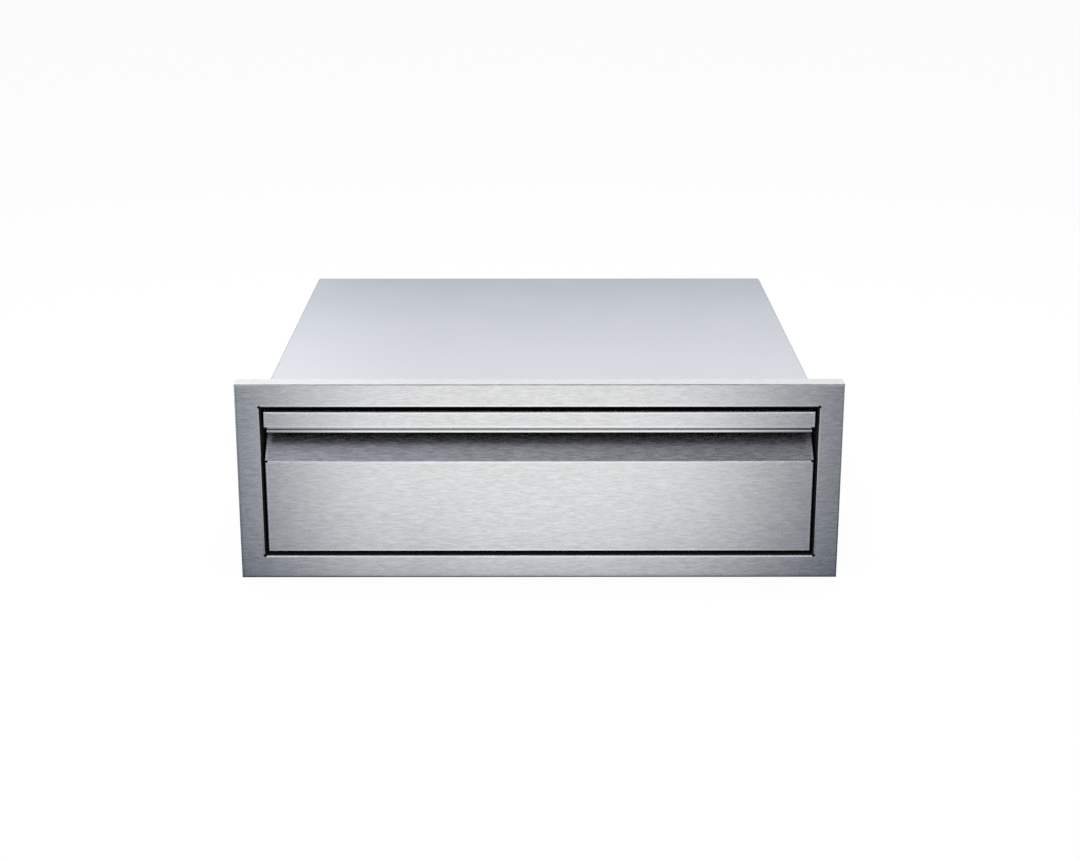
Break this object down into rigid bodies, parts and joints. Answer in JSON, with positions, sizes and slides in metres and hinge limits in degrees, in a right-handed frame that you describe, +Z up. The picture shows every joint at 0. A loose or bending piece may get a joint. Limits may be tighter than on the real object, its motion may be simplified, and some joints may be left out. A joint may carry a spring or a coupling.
{
  "type": "outdoor kitchen storage drawer",
  "caption": "Built-in stainless storage drawer: flanged face frame and sheet-metal housing with a full-width drawer, folded lip handle with finger recess, and telescoping slides.",
  "frame": {"origin": "centre of the face frame, in the plane of its rear edges, which seat on the island's face", "axes": "+X to the right across the front as seen by the user, +Y back into the island, +Z up"},
  "size_m": [0.762, 0.597, 0.2616],
  "materials": {
    "front_steel": "horizontal brushed grain",
    "housing_steel": "plain mill finish",
    "slide_steel": "bright zinc plate",
    "ball_steel": "polished",
    "black_rubber": "matt"
  },
  "bodies": {
    "housing": {"face_frame": "front_steel", "jamb_seal": "black_rubber", "housing_side_left": "housing_steel", "housing_side_right": "housing_steel", "housing_top": "housing_steel", "housing_bottom": "housing_steel", "housing_back": "housing_steel", "rear_bumpers": "black_rubber", "slide_bracket_left": "housing_steel", "slide_bracket_right": "housing_steel", "slide_outer_left": "slide_steel", "slide_outer_right": "slide_steel"},
    "drawer": {"front_skin": "front_steel", "handle_lip": "front_steel", "grip_bead": "front_steel", "front_liner": "housing_steel", "wiper_seal": "black_rubber", "drawer_side_left": "housing_steel", "drawer_side_right": "housing_steel", "drawer_bottom": "housing_steel", "drawer_back": "housing_steel", "slide_inner_left": "slide_steel", "slide_inner_right": "slide_steel"},
    "slide_middle_left": {"slide_middle_left": "slide_steel"},
    "outer_cage_left": {"outer_cage_left": "slide_steel", "outer_balls_left": "ball_steel"},
    "inner_cage_left": {"inner_cage_left": "slide_steel", "inner_balls_left": "ball_steel"},
    "slide_middle_right": {"slide_middle_right": "slide_steel"},
    "outer_cage_right": {"outer_cage_right": "slide_steel", "outer_balls_right": "ball_steel"},
    "inner_cage_right": {"inner_cage_right": "slide_steel", "inner_balls_right": "ball_steel"}
  },
  "joints": [
    {"name": "drawer_slide", "type": "slide", "parent": "housing", "child": "drawer", "axis": [0, -1, 0], "range_m": [0, 0.508]},
    {"name": "outer_cage_left_slide", "type": "slide", "parent": "housing", "child": "outer_cage_left", "axis": [0, -1, 0], "range_m": [0, 0.127]},
    {"name": "slide_middle_left_slide", "type": "slide", "parent": "housing", "child": "slide_middle_left", "axis": [0, -1, 0], "range_m": [0, 0.254]},
    {"name": "inner_cage_left_slide", "type": "slide", "parent": "housing", "child": "inner_cage_left", "axis": [0, -1, 0], "range_m": [0, 0.381]},
    {"name": "outer_cage_right_slide", "type": "slide", "parent": "housing", "child": "outer_cage_right", "axis": [0, -1, 0], "range_m": [0, 0.127]},
    {"name": "slide_middle_right_slide", "type": "slide", "parent": "housing", "child": "slide_middle_right", "axis": [0, -1, 0], "range_m": [0, 0.254]},
    {"name": "inner_cage_right_slide", "type": "slide", "parent": "housing", "child": "inner_cage_right", "axis": [0, -1, 0], "range_m": [0, 0.381]}
  ],
  "couplings": [
    {"joint": "outer_cage_left_slide", "follows": "drawer_slide", "ratio": 0.25},
    {"joint": "slide_middle_left_slide", "follows": "drawer_slide", "ratio": 0.5},
    {"joint": "inner_cage_left_slide", "follows": "drawer_slide", "ratio": 0.75},
    {"joint": "outer_cage_right_slide", "follows": "drawer_slide", "ratio": 0.25},
    {"joint": "slide_middle_right_slide", "follows": "drawer_slide", "ratio": 0.5},
    {"joint": "inner_cage_right_slide", "follows": "drawer_slide", "ratio": 0.75}
  ]
}
